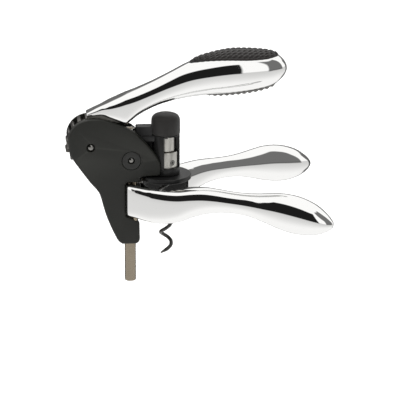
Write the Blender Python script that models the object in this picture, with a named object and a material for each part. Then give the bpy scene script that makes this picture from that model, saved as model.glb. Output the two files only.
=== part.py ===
"""Lever corkscrew: a hinged pair of bottle clamps, a geared top lever and a rising worm carriage.

The row origin is on the worm's axis, at the underside of the disc that meets the bottle.
+X points along the grip handles, +Z up, Y across.  Lengths below are in millimetres.
"""
import math

import bmesh
import bpy
from mathutils import Matrix, Vector

MM = 0.001
GAP = 0.3

# Driving dimensions
BODY_HALF_WIDTH = 9.3
COVER_THICKNESS = 2.8
FRAME_HALF_WIDTH = 6.2
ROD_X = -22.5
ROD_RADIUS = 3.5
ROD_TOP = 28.4
ROD_BOTTOM = -66.7
LEVER_AXIS = (-46.5, 26.2)
HUB_RADIUS = 7.0
GEAR_MODULE = 1.7
GEAR_TEETH = 18
GEAR_HALF_WIDTH = 5.8
STUB_RADIUS = 15.7
RACK_HALF_WIDTH = 3.5
RACK_BACK_X = -27.4
RACK_BOTTOM = -26.0
RACK_TOP = 30.9
WORM_PITCH = 14.1
WORM_RADIUS = 3.3
WIRE_RADIUS = 1.15
WORM_TIP = -49.6
STOP_RADIUS = 15.9
STOP_THICKNESS = 3.0
CLAMP_PIVOT = (-20.0, 7.2)
CLAMP_OPEN_ANGLE = 24.3
NECK_RADIUS = 14.3
CAVITY_RADIUS = 16.0

PITCH_RADIUS = GEAR_MODULE * GEAR_TEETH / 2
RACK_PITCH_X = LEVER_AXIS[0] + PITCH_RADIUS
COVER_INNER = BODY_HALF_WIDTH - COVER_THICKNESS

# Colour, roughness and metallic value of each material
FINISHES = {
    "black_plastic": ((0.020, 0.021, 0.019), 0.42, 0.0),
    "black_rubber": ((0.030, 0.030, 0.028), 0.65, 0.0),
    "chrome": ((0.83, 0.83, 0.82), 0.08, 1.0),
    "satin_steel": ((0.66, 0.65, 0.60), 0.30, 1.0),
    "silver": ((0.78, 0.78, 0.76), 0.28, 1.0),
    "coated_steel": ((0.045, 0.044, 0.040), 0.35, 0.3),
    "bronze": ((0.36, 0.21, 0.10), 0.38, 1.0),
    "grey_rubber": ((0.055, 0.053, 0.050), 0.60, 0.0),
    "nylon": ((0.035, 0.036, 0.034), 0.45, 0.0),
}


# ---------------------------------------------------------------- basic helpers

def clear_scene():
    for obj in list(bpy.data.objects):
        bpy.data.objects.remove(obj, do_unlink=True)


def material_for(name, finish):
    colour, roughness, metallic = FINISHES[finish]
    material = bpy.data.materials.new(name + "_" + finish)
    material.use_nodes = True
    shader = material.node_tree.nodes["Principled BSDF"]
    shader.inputs["Base Color"].default_value = (*colour, 1.0)
    shader.inputs["Roughness"].default_value = roughness
    shader.inputs["Metallic"].default_value = metallic
    material.diffuse_color = (*colour, 1.0)
    return material


def add_mesh(name, verts, faces, finish=None, origin=(0, 0, 0)):
    """A closed mesh from points in millimetres; finish None makes a hidden cutter."""
    mesh = bpy.data.meshes.new(name)
    base = Vector(origin)
    mesh.from_pydata([(Vector(v) - base) * MM for v in verts], [], faces)
    work = bmesh.new()
    work.from_mesh(mesh)
    bmesh.ops.recalc_face_normals(work, faces=work.faces)
    work.to_mesh(mesh)
    work.free()
    obj = bpy.data.objects.new(name, mesh)
    obj.location = base * MM
    bpy.context.scene.collection.objects.link(obj)
    if finish is None:
        obj.hide_render = True
        obj.display_type = "WIRE"
    else:
        mesh.materials.append(material_for(name, finish))
        mesh.shade_smooth()
        mesh.set_sharp_from_angle(angle=math.radians(32))
    return obj


def combine(target, tool, operation):
    """Join a hidden tool to the target, or cut it away."""
    tool.hide_render = True
    tool.display_type = "WIRE"
    boolean = target.modifiers.new(operation.lower(), "BOOLEAN")
    boolean.operation = operation
    boolean.solver = "EXACT"
    boolean.object = tool


def cut(target, *tools):
    for tool in tools:
        combine(target, tool, "DIFFERENCE")


def join(target, *tools):
    for tool in tools:
        combine(target, tool, "UNION")


def ring_faces(rings, count, closed_ends=True, wrap=False):
    """Faces between successive rings of count points."""
    faces = []
    last = rings if wrap else rings - 1
    for ring in range(last):
        here = ring * count
        there = ((ring + 1) % rings) * count
        for i in range(count):
            j = (i + 1) % count
            faces.append((here + i, here + j, there + j, there + i))
    if closed_ends and not wrap:
        faces.append(tuple(reversed(range(count))))
        faces.append(tuple((rings - 1) * count + i for i in range(count)))
    return faces


def spline(points, steps):
    """Catmull-Rom curve through points of any dimension."""
    out = []
    count = len(points)
    for i in range(count - 1):
        before = points[max(i - 1, 0)]
        start = points[i]
        end = points[i + 1]
        after = points[min(i + 2, count - 1)]
        for k in range(steps):
            t = k / steps
            out.append(tuple(
                0.5 * (2 * s + (e - b) * t + (2 * b - 5 * s + 4 * e - a) * t * t
                       + (3 * s - b - 3 * e + a) * t ** 3)
                for b, s, e, a in zip(before, start, end, after)))
    out.append(tuple(points[-1]))
    return out


def offset_outline(points, distance):
    """Move a closed outline inward by a distance, with mitred corners."""
    area = sum(a[0] * b[1] - b[0] * a[1] for a, b in zip(points, points[1:] + points[:1]))
    side = 1 if area > 0 else -1
    moved = []
    count = len(points)
    for i, (x, z) in enumerate(points):
        before = Vector(points[i - 1])
        here = Vector((x, z))
        after = Vector(points[(i + 1) % count])
        first = (here - before).normalized()
        second = (after - here).normalized()
        normal = Vector((-first.y - second.y, first.x + second.x)).normalized() * side
        lean = max(0.5, normal.dot(Vector((-first.y, first.x)) * side))
        moved.append(tuple(here + normal * distance / lean))
    return moved


def slab(name, outline, y_low, y_high, finish=None, origin=(0, 0, 0)):
    """A plate with an XZ outline, from one Y to another."""
    verts = [(x, y, z) for y in (y_low, y_high) for x, z in outline]
    return add_mesh(name, verts, ring_faces(2, len(outline)), finish, origin)


def block(name, low, high, finish=None, origin=(0, 0, 0)):
    outline = [(low[0], low[2]), (high[0], low[2]), (high[0], high[2]), (low[0], high[2])]
    return slab(name, outline, low[1], high[1], finish, origin)


def turned(name, profile, centre, finish=None, axis="Z", segments=32, hollow=True, origin=None):
    """Turn an (r, h) profile about an axis through centre; hollow profiles are closed loops."""
    start = 0 if hollow else 1
    stop = len(profile) if hollow else len(profile) - 1
    verts = []
    for k in range(segments):
        angle = 2 * math.pi * k / segments
        for r, h in profile[start:stop]:
            verts.append((r * math.cos(angle), r * math.sin(angle), h))
    count = stop - start
    faces = []
    for k in range(segments):
        here = k * count
        there = ((k + 1) % segments) * count
        for i in range(count if hollow else count - 1):
            j = (i + 1) % count
            faces.append((here + i, there + i, there + j, here + j))
    if not hollow:
        for end, row in ((profile[0], 0), (profile[-1], count - 1)):
            verts.append((0.0, 0.0, end[1]))
            tip = len(verts) - 1
            for k in range(segments):
                faces.append((tip, k * count + row, ((k + 1) % segments) * count + row))
    if axis == "Y":
        verts = [(x, h, y) for x, y, h in verts]
    placed = [Vector(v) + Vector(centre) for v in verts]
    return add_mesh(name, placed, faces, finish, origin or centre)


def cylinder(name, centre, radius, low, high, finish=None, axis="Z", segments=24):
    profile = [(0, low), (radius, low), (radius, high), (0, high)]
    return turned(name, profile, centre, finish, axis, segments, hollow=False)


def hex_nut(name, centre, corner_radius, bore, low, high):
    nut = cylinder(name, centre, corner_radius, low, high, "satin_steel", segments=6)
    cut(nut, cylinder(name + "_bore", centre, bore, low - 1, high + 1))


def pivoted(obj, angle_degrees, pivot):
    """Turn an object about a vertical axis through pivot and leave its origin there."""
    centre = Vector((pivot[0], pivot[1], 0)) * MM
    obj.matrix_basis = (Matrix.Translation(centre)
                        @ Matrix.Rotation(math.radians(angle_degrees), 4, "Z")
                        @ Matrix.Translation(-centre) @ obj.matrix_basis)


# ---------------------------------------------------------------- body

def body_outline():
    """Side view of the body: round head, forward lobe, neck and the clamps' notch."""
    head = spline([(-61.0, 24.4), (-61.5, 29.0), (-60.2, 33.6), (-57.3, 37.5), (-53.3, 40.1),
                   (-48.0, 41.4), (-41.4, 41.3), (-35.4, 39.8), (-28.6, 37.1), (-21.0, 33.3),
                   (-14.8, 27.4), (-9.3, 21.0), (-5.4, 15.2), (-3.7, 10.6), (-3.6, 6.6)], 2)
    lobe_foot = [(-4.4, 3.6), (-16.6, 3.5), (-17.0, -0.2), (-24.8, -0.2), (-25.6, -1.0)]
    notch = [(-25.6, -22.0), (-17.1, -25.7), (-16.9, -38.2), (-18.6, -40.3)]
    neck = spline([(-28.0, -40.3), (-31.0, -37.4), (-35.7, -27.3), (-38.8, -18.6),
                   (-41.2, -9.6), (-43.0, -5.4), (-48.0, 0.7), (-57.2, 13.7), (-60.2, 19.2)], 2)
    return head + lobe_foot + notch + neck


def cover(name, side):
    """One side shell; side is -1 at the front and 1 at the back."""
    outline = body_outline()
    edge_round = 1.6
    depths = [(COVER_INNER, 0.0), (BODY_HALF_WIDTH - edge_round, 0.0)]
    for step in (45, 90):
        angle = math.radians(step)
        depths.append((BODY_HALF_WIDTH - edge_round * (1 - math.sin(angle)),
                       edge_round * (1 - math.cos(angle))))
    verts = []
    for y, inset in depths:
        ring = offset_outline(outline, inset) if inset else outline
        verts += [(x, side * y, z) for x, z in ring]
    shell = add_mesh(name, verts, ring_faces(len(depths), len(outline)), "black_plastic")
    hub = sorted((side * 0.2, side * (COVER_INNER + 1)))
    join(shell, cylinder(name + "_hub", (LEVER_AXIS[0], 0, LEVER_AXIS[1]), HUB_RADIUS,
                         hub[0], hub[1], axis="Y", segments=32))
    outside = side * (BODY_HALF_WIDTH + 1)
    through = sorted((0.0, outside))
    pin_seat = sorted((side * (BODY_HALF_WIDTH - 1.7), outside))
    button_hole = sorted((side * (COVER_INNER - 1), outside))
    cut(shell,
        cylinder(name + "_pin_hole", COVER_PIN, 1.8, through[0], through[1], axis="Y"),
        cylinder(name + "_pin_seat", COVER_PIN, 2.7, pin_seat[0], pin_seat[1], axis="Y"),
        cylinder(name + "_button_hole", GUIDE_BUTTON, 6.1, button_hole[0], button_hole[1],
                 axis="Y", segments=32),
        cylinder(name + "_housing_relief", (0, 0, 0), 9.1, -50, 60, segments=64),
        cylinder(name + "_clamp_pin_hole", (CLAMP_PIVOT[0], side * CLAMP_PIVOT[1], 0), 1.8,
                 -31.3, 3.2, segments=20))
    if side > 0:
        for index, (x, z) in enumerate(COVER_SCREWS):
            spot = (x, 0, z)
            cut(shell,
                cylinder("screw_hole_%d" % index, spot, 1.5, 5.0, BODY_HALF_WIDTH + 1, axis="Y",
                         segments=16),
                cylinder("screw_seat_%d" % index, spot, 2.6, BODY_HALF_WIDTH - 1.6,
                         BODY_HALF_WIDTH + 1, axis="Y", segments=20))
    return shell


COVER_PIN = (-47.3, 0, 23.3)
GUIDE_BUTTON = (-22.1, 0, 14.3)
COVER_SCREWS = [(-44.5, 1.5), (-28.8, -32.0), (-12.8, 6.0)]
STOP_SCREWS = [(-12.9, -2.5), (-12.9, 2.5)]


def inner_frame():
    """Casting between the covers: rack channel, rod channel, bush seat and disc seat."""
    outline = [(-50.4, 3.7), (-47.2, -0.4), (-42.3, -6.2), (-40.4, -9.8), (-38.0, -18.8),
               (-34.9, -27.6), (-30.6, -37.0), (-27.6, -39.8), (-19.0, -39.8), (-17.8, -38.0),
               (-17.9, -26.6), (-26.3, -23.0), (-26.3, -1.2), (-25.4, -0.3), (-17.6, -0.3),
               (-17.3, 3.9), (-9.5, 3.9), (-9.5, 8.1), (-46.5, 8.1)]
    frame = slab("inner_frame", outline, -FRAME_HALF_WIDTH, FRAME_HALF_WIDTH, "nylon")
    cut(frame,
        block("rack_channel", (RACK_PITCH_X - 2.1, -3.8, -27.2), (-27.1, 3.8, 12)),
        cylinder("rod_channel", (ROD_X, 0, 0), ROD_RADIUS + GAP, -45, 12, segments=24),
        cylinder("bush_seat", (ROD_X, 0, 0), 5.5, -45, -27.2, segments=24))
    for side in (-1, 1):
        cut(frame, cylinder("frame_pin_hole", (CLAMP_PIVOT[0], side * CLAMP_PIVOT[1], 0), 1.8,
                            -31.3, 3.2, segments=20))
    for x, y in STOP_SCREWS:
        cut(frame, cylinder("frame_stop_hole", (x, y, 0), 1.6, 2, 7.2, segments=16))
    for x, z in COVER_SCREWS:
        cut(frame, cylinder("frame_cover_hole", (x, 0, z), 1.5, 3.9, 9, axis="Y", segments=16))
    return frame


def body_fittings():
    """Pins, buttons, bush and screws that stay with the body."""
    head = 2.3
    half = BODY_HALF_WIDTH
    pin = [(0, -half + 0.3), (1.1, -half + 0.4), (1.9, -half + 0.8), (head, -half + 1.4),
           (1.5, -half + 1.4), (1.5, half - 1.4), (head, half - 1.4), (1.9, half - 0.8),
           (1.1, half - 0.4), (0, half - 0.3)]
    turned("cover_pin", pin, COVER_PIN, "chrome", "Y", 24, hollow=False)
    for side, word in ((-1, "front"), (1, "back")):
        button = [(0, 4.0), (5.8, 4.0), (5.8, half - 0.5), (5.4, half - 0.1), (2.1, half - 0.1),
                  (2.1, half - 2.0), (1.3, half - 2.0), (1.3, 5.0), (0, 5.0)]
        turned("guide_button_" + word, [(r, side * y) for r, y in button], GUIDE_BUTTON,
               "nylon", "Y", 32, hollow=False)
        screw = [(0, 5.3), (1.0, 5.3), (1.0, half - 1.7), (1.7, half - 1.7), (1.7, half - 1.0),
                 (1.0, half - 0.5), (0, half - 0.3)]
        turned("guide_screw_" + word, [(r, side * y) for r, y in screw], GUIDE_BUTTON,
               "chrome", "Y", 20, hollow=False)
        cylinder("clamp_pin_" + word, (CLAMP_PIVOT[0], side * CLAMP_PIVOT[1], 0), 1.5,
                 -31.0, 2.8, "satin_steel", segments=20)
    bush = [(ROD_RADIUS + GAP, -40.6), (5.2, -40.6), (5.2, -27.5), (ROD_RADIUS + GAP, -27.5)]
    turned("rod_bush", bush, (ROD_X, 0, 0), "bronze", segments=32)
    for index, (x, z) in enumerate(COVER_SCREWS):
        shape = [(0, 4.2), (1.2, 4.2), (1.2, half - 1.3), (2.3, half - 1.3), (2.3, half - 0.2),
                 (0, half - 0.2)]
        turned("cover_screw_%d" % (index + 1), shape, (x, 0, z), "satin_steel", "Y", 16,
               hollow=False)


def stop_disc():
    """Disc that lands on the bottle, its helical worm nut and its two screws."""
    r = STOP_RADIUS
    top = STOP_THICKNESS
    profile = [(7.4, 0), (r - 0.5, 0), (r, 0.5), (r, top - 0.9), (r - 0.3, top - 0.3),
               (r - 0.9, top), (7.4, top)]
    disc = turned("stop_plate", profile, (0, 0, 0), "black_plastic", segments=44)
    for index, (x, y) in enumerate(STOP_SCREWS):
        cut(disc,
            cylinder("disc_hole", (x, y, 0), 1.6, -1, 4, segments=16),
            turned("disc_sink", [(0, -0.1), (2.7, -0.1), (1.5, 1.2), (0, 1.2)], (x, y, 0),
                   segments=16, hollow=False))
        shape = [(0, 0.15), (2.2, 0.15), (1.25, 1.1), (1.25, 6.9), (0, 6.9)]
        turned("stop_screw_%d" % (index + 1), shape, (x, y, 0), "satin_steel", segments=16,
               hollow=False)
    nut_profile = [(0, 0.3), (7.1, 0.3), (7.1, 5.6), (6.7, 6.0), (0, 6.0)]
    nut = turned("worm_nut", nut_profile, (0, 0, 0), "nylon", segments=32, hollow=False)
    path = [helix_point(-2.0 + 10.0 * k / 20) for k in range(21)]
    cut(nut, swept("nut_thread", path, [WIRE_RADIUS + 0.4] * len(path), 12))


# ---------------------------------------------------------------- worm group

def helix_point(z):
    """Centre of the worm's wire at height z; the wire climbs anticlockwise from above."""
    angle = math.pi + 2 * math.pi * (z + 35.6) / WORM_PITCH
    return Vector((WORM_RADIUS * math.cos(angle), WORM_RADIUS * math.sin(angle), z))


def swept(name, path, radii, sides, finish=None, origin=(0, 0, 0)):
    """A round bar along a path, with its own radius at each point."""
    verts = []
    for i, point in enumerate(path):
        along = (path[min(i + 1, len(path) - 1)] - path[max(i - 1, 0)]).normalized()
        out = Vector((point.x, point.y, 0)).normalized()
        across = along.cross(out).normalized()
        out = across.cross(along)
        for k in range(sides):
            angle = 2 * math.pi * k / sides
            verts.append(point + (out * math.cos(angle) + across * math.sin(angle)) * radii[i])
    return add_mesh(name, verts, ring_faces(len(path), sides), finish, origin)


def worm_group():
    steps_per_turn = 16
    top = 10.4
    count = int((top - WORM_TIP) / WORM_PITCH * steps_per_turn)
    path = []
    radii = []
    for k in range(count + 1):
        z = WORM_TIP + (top - WORM_TIP) * k / count
        point = helix_point(z)
        squeeze = min(1.0, max(0.0, (top - z) / 3.6))
        point.x *= 0.25 + 0.75 * squeeze
        point.y *= 0.25 + 0.75 * squeeze
        path.append(point)
        radii.append(WIRE_RADIUS * min(1.0, 0.16 + (z - WORM_TIP) / 4.2))
    worm = swept("worm", path, radii, 8, "coated_steel")
    join(worm, turned("worm_head", [(0, 9.4), (4.2, 9.4), (4.6, 9.8), (4.6, 13.2), (0, 13.2)],
                      (0, 0, 0), segments=24, hollow=False))
    chuck = [(4.9, 6.6), (7.0, 6.6), (7.4, 7.0), (7.4, 17.7), (7.1, 18.0), (4.3, 18.0),
             (4.3, 13.6), (4.9, 13.6)]
    holder = turned("worm_chuck", chuck, (0, 0, 0), "silver", segments=32)
    angle = math.radians(-60)
    spot = Vector((math.cos(angle), math.sin(angle), 0))
    turn = spot.to_track_quat("Z", "Y").to_matrix().to_4x4()
    hole = radial_pin("chuck_hole", turn, 1.7, 4.0, 9.0)
    cut(holder, hole)
    radial_pin("chuck_screw", turn, 1.4, 5.1, 7.2, "satin_steel")
    spindle = [(0, 13.9), (4.0, 13.9), (4.0, 18.3), (5.5, 18.3), (5.8, 18.6), (5.8, 28.3),
               (5.5, 28.6), (3.0, 28.6), (3.0, 37.2), (0, 37.2)]
    turned("spindle", spindle, (0, 0, 0), "silver", segments=32, hollow=False)
    hex_nut("spindle_nut", (0, 0, 0), 5.4, 3.3, 33.4, 36.4)


def radial_pin(name, turn, radius, inner, outer, finish=None):
    """A short pin that points away from the worm's axis at mid height of the chuck."""
    verts = []
    sides = 16
    for h in (inner, outer):
        for k in range(sides):
            angle = 2 * math.pi * k / sides
            point = turn @ Vector((radius * math.cos(angle), radius * math.sin(angle), h))
            verts.append(point + Vector((0, 0, 11.5)))
    return add_mesh(name, verts, ring_faces(2, sides), finish)


# ---------------------------------------------------------------- carriage

def wedge(name, start, end, inner, outer, low, high):
    """A block in the shape of a ring sector, angles in degrees."""
    steps = 8
    angles = [math.radians(start + (end - start) * k / steps) for k in range(steps + 1)]
    ring = [(outer * math.cos(a), outer * math.sin(a)) for a in angles]
    ring += [(inner * math.cos(a), inner * math.sin(a)) for a in reversed(angles)]
    verts = [(x, y, z) for z in (low, high) for x, y in ring]
    return add_mesh(name, verts, ring_faces(2, len(ring)))


def carriage_group():
    shell = [(8.75, 3.4), (8.75, 29.0), (7.7, 29.0), (7.7, 31.9), (3.3, 31.9), (3.3, 28.9),
             (6.3, 28.9), (6.3, 18.4), (7.75, 18.4), (7.75, 3.4)]
    carriage = turned("carriage", shell, (0, 0, 0), "black_plastic", segments=40)
    cut(carriage,
        wedge("window", -102, -11, 3.5, 12, 7.8, 28.4),
        wedge("key_slot", -102, -83, 7.9, 12, 27.0, 29.5))
    flange = [(-20.5, 25.2), (-6.6, 25.2), (-6.6, 28.6), (-20.5, 28.6)]
    arm_outline = [(-18.7, 26.0), (-4.0, 26.0), (-4.0, 34.4), (-18.0, 34.4), (-18.7, 33.7)]
    web = [(-19.4, 9.2), (-8.1, 9.2), (-8.1, 26.0), (-19.4, 26.0)]
    boss_low = 20.6
    boss_top = 28.4
    arm = slab("arm", arm_outline, -3.3, 3.3)
    cut(arm, cylinder("cap_clearance", (0, 0, 0), 9.35, 20, 40, segments=48))
    join(carriage,
         slab("flange", flange, -4.6, 4.6),
         arm,
         slab("web", web, -2.0, 2.0),
         cylinder("boss", (ROD_X, 0, 0), 4.6, boss_low, boss_top, segments=28))
    cut(carriage, cylinder("boss_bore", (ROD_X, 0, 0), ROD_RADIUS + GAP, 0, 40, segments=24))
    rod = [(0, ROD_BOTTOM), (2.6, ROD_BOTTOM), (ROD_RADIUS, ROD_BOTTOM + 0.8),
           (ROD_RADIUS, ROD_TOP), (2.2, ROD_TOP), (2.2, 33.4), (0, 33.4)]
    turned("guide_rod", rod, (ROD_X, 0, 0), "satin_steel", segments=24, hollow=False)
    hex_nut("rod_nut", (ROD_X, 0, 0), 3.4, 2.5, 31.2, 33.1)
    rack_bar()
    turned("thrust_washer", [(3.3, 32.2), (6.2, 32.2), (6.2, 33.1), (3.3, 33.1)], (0, 0, 0),
           "bronze", segments=28)
    cap_shape = [(8.05, 29.4), (8.9, 29.4), (9.0, 29.6), (9.0, 37.6), (8.8, 39.0), (8.1, 40.3),
                 (6.8, 41.3), (4.7, 41.9), (2.3, 42.15), (0, 42.2)]
    inside = [(0, 38.0), (7.6, 38.0), (8.05, 37.6)]
    cap = turned("cap", list(reversed(inside + cap_shape)), (0, 0, 0), "black_rubber",
                 segments=32, hollow=False)
    join(cap, wedge("cap_key", -99, -86, 8.15, 8.95, 27.9, 30.0))


def rack_bar():
    """Rack that the lever's gear lifts, with a lug clamped on the rod's end."""
    pitch = math.pi * GEAR_MODULE
    tip_x = RACK_PITCH_X - GEAR_MODULE
    root_x = RACK_PITCH_X + 1.25 * GEAR_MODULE
    slope = math.tan(math.radians(20))
    half_tooth = pitch / 4 - 0.14
    edge = []
    tooth = LEVER_AXIS[1] + pitch / 2
    while tooth > RACK_BOTTOM + half_tooth + 1:
        tooth -= pitch
    while tooth + half_tooth < RACK_TOP + 1.0:
        tip_half = half_tooth - GEAR_MODULE * slope
        root_half = half_tooth + 1.25 * GEAR_MODULE * slope
        for x, z in ((root_x, tooth - root_half), (tip_x, tooth - tip_half),
                     (tip_x, tooth + tip_half), (root_x, tooth + root_half)):
            if RACK_BOTTOM < z < RACK_TOP - 0.2:
                edge.append((x, z))
        tooth += pitch
    outline = [(RACK_BACK_X, RACK_TOP - 2), (RACK_BACK_X, RACK_BOTTOM), (root_x, RACK_BOTTOM)]
    outline += edge + [(root_x, RACK_TOP), (-19.0, RACK_TOP), (-19.0, RACK_TOP - 2)]
    rack = slab("rack", outline, -RACK_HALF_WIDTH, RACK_HALF_WIDTH, "satin_steel")
    cut(rack, cylinder("lug_hole", (ROD_X, 0, 0), 2.5, 28, 36, segments=20))


# ---------------------------------------------------------------- lever

def gear_outline():
    """Closed tooth outline of the lever's hub gear, one tooth pointing along +X."""
    base = PITCH_RADIUS * math.cos(math.radians(20))
    tip = PITCH_RADIUS + GEAR_MODULE
    root = PITCH_RADIUS - 1.25 * GEAR_MODULE
    roll_at_pitch = math.tan(math.radians(20)) - math.radians(20)
    half_at_pitch = math.pi / (2 * GEAR_TEETH) - 0.009
    flank = [(root, half_at_pitch + roll_at_pitch)]
    for radius in (base, PITCH_RADIUS, tip):
        pressure = math.acos(min(1.0, base / radius))
        flank.append((radius, half_at_pitch + roll_at_pitch - (math.tan(pressure) - pressure)))
    points = []
    for tooth in range(GEAR_TEETH):
        centre = 2 * math.pi * tooth / GEAR_TEETH
        # The teeth past the rack's reach are stubs that stay inside the covers' edge
        limit = STUB_RADIUS if 3 <= tooth <= 9 else tip
        for radius, half in flank:
            points.append((min(radius, limit), centre - half))
        for radius, half in reversed(flank):
            points.append((min(radius, limit), centre + half))
    return [(LEVER_AXIS[0] + r * math.cos(a), LEVER_AXIS[1] + r * math.sin(a))
            for r, a in points]


def superellipse(angle, half_wide, half_high, power):
    c = math.cos(angle)
    s = math.sin(angle)
    y = half_wide * math.copysign(abs(c) ** (2 / power), c)
    z = half_high * math.copysign(abs(s) ** (2 / power), s)
    return y, z


# x, top z, bottom z, half width, roundness power
LEVER_STATIONS = [
    (-49.4, 44.0, 42.6, 5.0, 4.0),
    (-45.0, 46.2, 42.5, 5.8, 4.0),
    (-40.5, 48.3, 42.5, 6.0, 4.0),
    (-35.5, 50.7, 41.0, 8.2, 4.0),
    (-30.0, 53.2, 38.7, 9.0, 4.0),
    (-25.5, 55.3, 36.9, 9.0, 4.0),
    (-22.6, 56.5, 38.3, 9.0, 3.6),
    (-17.1, 58.8, 42.4, 9.0, 3.0),
    (-7.2, 63.3, 47.4, 9.0, 2.6),
    (2.8, 68.4, 50.5, 9.3, 2.4),
    (15.0, 74.6, 53.0, 11.0, 2.3),
    (28.0, 78.8, 54.2, 12.8, 2.2),
    (40.0, 81.0, 54.7, 13.6, 2.2),
    (52.0, 81.0, 55.9, 13.2, 2.2),
    (62.0, 80.1, 57.9, 11.8, 2.2),
    (67.5, 78.9, 60.0, 10.0, 2.2),
    (71.2, 77.2, 62.4, 8.0, 2.1),
    (73.8, 74.6, 65.2, 5.4, 2.0),
    (75.2, 72.0, 67.8, 2.6, 2.0),
    (75.5, 70.6, 69.2, 0.8, 2.0),
]


def lever_section(station, angle, proud=0.0):
    x, top, bottom, half, power = station
    y, z = superellipse(angle, half + proud, (top - bottom) / 2 + proud, power)
    return (x, y, (top + bottom) / 2 + z)


def lever_group():
    sides = 24
    stations = spline(LEVER_STATIONS, 2)
    verts = []
    for station in stations:
        verts += [lever_section(station, 2 * math.pi * k / sides) for k in range(sides)]
    axis = (LEVER_AXIS[0], 0, LEVER_AXIS[1])
    lever = slab("lever", gear_outline(), -GEAR_HALF_WIDTH, GEAR_HALF_WIDTH, "chrome", axis)
    web = [(-36.9, 34.0), (-34.6, 37.4), (-26.2, 38.9), (-27.4, 44.5), (-38.0, 46.0),
           (-48.6, 43.3), (-50.3, 38.6), (-48.0, 35.5)]
    join(lever,
         slab("lever_web", web, -5.6, 5.6),
         add_mesh("lever_arm", verts, ring_faces(len(stations), sides)))
    cut(lever, cylinder("lever_bore", axis, 8.8, -8, 8, axis="Y", segments=36))
    ring = [(7.3, -5.6), (8.5, -5.6), (8.5, 5.6), (7.3, 5.6)]
    turned("lever_bush", ring, axis, "bronze", "Y", 36)
    grip("grip_top", 90, 14.5, 70.5, 46, axis)
    grip("grip_bottom", -90, 25.0, 69.5, 26, axis)


def grip(name, middle, x_start, x_end, spread, origin):
    """Leaf-shaped ribbed pad that follows the lever's bulb above (90) or below (-90)."""
    stations = [s for s in spline(LEVER_STATIONS, 12) if x_start <= s[0] <= x_end]
    stations = stations[::3]
    across = 8
    rows = []
    for proud in (0.3, 1.5):
        for i, station in enumerate(stations):
            t = i / (len(stations) - 1)
            reach = max(0.12, math.sin(math.pi * t) ** 0.6) * spread
            for k in range(across + 1):
                angle = math.radians(middle - reach + 2 * reach * k / across)
                rows.append(lever_section(station, angle, proud))
    width = across + 1
    layer = width * len(stations)
    faces = []
    for i in range(len(stations) - 1):
        for k in range(across):
            a = i * width + k
            b = a + width
            faces.append((a, a + 1, b + 1, b))
            faces.append((layer + a, layer + b, layer + b + 1, layer + a + 1))
    border = [k for k in range(width)]
    border += [i * width + width - 1 for i in range(1, len(stations))]
    border += [(len(stations) - 1) * width + k for k in reversed(range(width - 1))]
    border += [i * width for i in reversed(range(1, len(stations) - 1))]
    for a, b in zip(border, border[1:] + border[:1]):
        faces.append((a, b, layer + b, layer + a))
    return add_mesh(name, rows, faces, "grey_rubber", origin)


# ---------------------------------------------------------------- bottle clamps

# distance from the pivot, inner v, outer v, top z, bottom z, roundness power
CLAMP_STATIONS = [
    (-3.9, 3.6, 5.0, -1.5, -20.2, 6.0),
    (-2.8, 1.0, 6.6, -1.0, -20.5, 6.0),
    (-1.6, -1.0, 8.0, -0.8, -20.7, 6.0),
    (3.0, -5.0, 9.3, -0.7, -21.4, 5.5),
    (8.0, -6.6, 10.4, -0.7, -22.2, 5.0),
    (13.0, -6.6, 11.4, -0.7, -22.8, 4.6),
    (16.0, -6.6, 11.8, -0.7, -23.1, 4.2),
    (24.0, -6.6, 11.9, -0.7, -22.8, 3.8),
    (32.0, -6.6, 11.1, -0.4, -21.0, 3.4),
    (40.0, -6.4, 9.8, 0.9, -17.6, 2.8),
    (48.0, -5.2, 9.0, 1.7, -14.9, 2.4),
    (56.0, -4.2, 8.6, 1.5, -13.2, 2.2),
    (64.0, -3.9, 8.5, 1.0, -12.5, 2.1),
    (72.0, -4.1, 8.8, 0.9, -12.7, 2.1),
    (80.0, -4.8, 9.7, 1.4, -14.0, 2.1),
    (88.0, -5.7, 11.0, 2.4, -16.3, 2.1),
    (96.0, -6.3, 12.0, 3.3, -18.8, 2.1),
    (104.0, -6.6, 12.5, 3.0, -20.6, 2.1),
    (112.0, -6.4, 12.4, 1.3, -21.1, 2.1),
    (120.0, -4.9, 11.6, -2.0, -20.1, 2.1),
    (126.5, -1.9, 9.0, -6.6, -17.8, 2.0),
    (130.0, 1.0, 6.2, -10.2, -15.2, 2.0),
    (131.0, 2.9, 4.2, -12.1, -13.3, 2.0),
]


def clamp(word, side):
    """One clamp handle, its jaw and pad; side is -1 at the front and 1 at the back."""
    sides = 20
    pivot_x, pivot_y = CLAMP_PIVOT
    verts = []
    for u, inner, outer, top, bottom, power in spline(CLAMP_STATIONS, 2):
        for k in range(sides):
            y, z = superellipse(2 * math.pi * k / sides, (outer - inner) / 2,
                                (top - bottom) / 2, power)
            v = (outer + inner) / 2 + y
            verts.append((pivot_x + u, side * (pivot_y + v), (top + bottom) / 2 + z))
    rings = len(verts) // sides
    origin = (pivot_x, side * pivot_y, 0)
    handle = add_mesh("clamp_" + word, verts, ring_faces(rings, sides), "chrome", origin)
    tools = [cylinder(word + "_cavity", (0, 0, 0), CAVITY_RADIUS, -40, 20, segments=72),
             cylinder(word + "_pin_bore", origin, 1.8, -40, 20, segments=20)]
    cut(handle, *tools)
    pad = jaw_pad(word, side)
    for piece in [handle, pad] + tools:
        pivoted(piece, side * CLAMP_OPEN_ANGLE, (pivot_x, side * pivot_y))


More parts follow.
